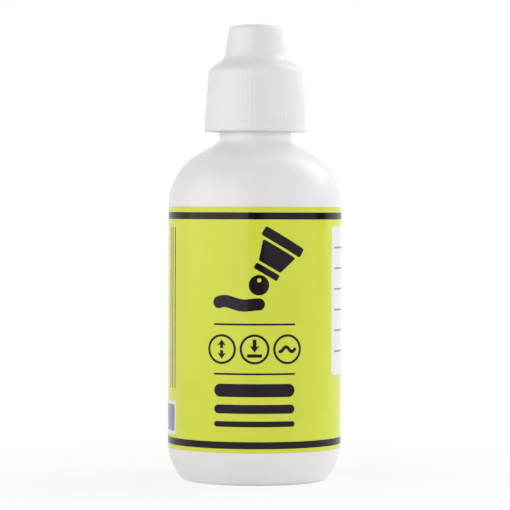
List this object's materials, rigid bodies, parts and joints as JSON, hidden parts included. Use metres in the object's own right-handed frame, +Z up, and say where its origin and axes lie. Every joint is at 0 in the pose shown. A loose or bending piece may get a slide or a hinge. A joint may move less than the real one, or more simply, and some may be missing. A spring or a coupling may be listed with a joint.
{
  "type": "ball paint marker",
  "caption": "Squeeze-bottle paint marker with a wrap-round label, a spring-loaded ball tip in its neck and a ribbed screw cap with a nipple that covers the tip.",
  "frame": {"origin": "centre of the base, on the surface that the bottle stands on", "axes": "+Z up along the bottle's axis, towards the cap; the label's front faces -Y and its seam faces +Y"},
  "size_m": [0.038, 0.038, 0.0999],
  "materials": {
    "bottle_plastic": "satin blow-moulded polyethylene",
    "label_film": "semi-gloss printed film",
    "paint": "wet paint",
    "mixing_steel": "plain steel ball",
    "plug_plastic": "natural polyethylene",
    "socket_metal": "turned and rolled metal",
    "seat_plastic": "moulded",
    "spring_steel": "drawn wire",
    "pusher_plastic": "moulded",
    "ball_steel": "polished",
    "seal_rubber": "soft foam",
    "cap_plastic": "satin moulded polypropylene"
  },
  "bodies": {
    "bottle": {"bottle": "bottle_plastic", "label": "label_film", "paint_fill": "paint", "tip_plug": "plug_plastic", "ball_socket": "socket_metal", "spring_seat": "seat_plastic", "tip_spring": "spring_steel"},
    "cap_seal": {"cap_seal": "seal_rubber"},
    "cap": {"cap": "cap_plastic"},
    "ball_pusher": {"ball_pusher": "pusher_plastic"},
    "ball": {"ball": "ball_steel"},
    "mixing_ball": {"mixing_ball": "mixing_steel"}
  },
  "joints": [
    {"name": "cap_rise", "type": "slide", "parent": "bottle", "child": "cap_seal", "axis": [0, 0, 1], "range_m": [0, 0.024]},
    {"name": "cap_turn", "type": "hinge", "parent": "cap_seal", "child": "cap", "pos_m": [0, 0, 0.0832], "axis": [0, 0, 1], "range_deg": [0, 2880]},
    {"name": "ball_press", "type": "slide", "parent": "bottle", "child": "ball_pusher", "axis": [0, 0, 1], "range_m": [-0.0006, 0], "stiffness_N_per_m": 300, "springref_m": 0.0015, "deforming": ["tip_spring"]},
    {"name": "ball_roll", "type": "hinge", "parent": "ball_pusher", "child": "ball", "pos_m": [0, 0, 0.09583], "axis": [1, 0, 0], "continuous": true},
    {"name": "mixing_ball_rattle", "type": "slide", "parent": "bottle", "child": "mixing_ball", "axis": [0, 0, 1], "range_m": [0, 0.05], "deforming": ["paint_fill"]}
  ],
  "couplings": [
    {"joint": "cap_rise", "follows": "cap_turn", "m_per_rad": 0.00047746}
  ]
}
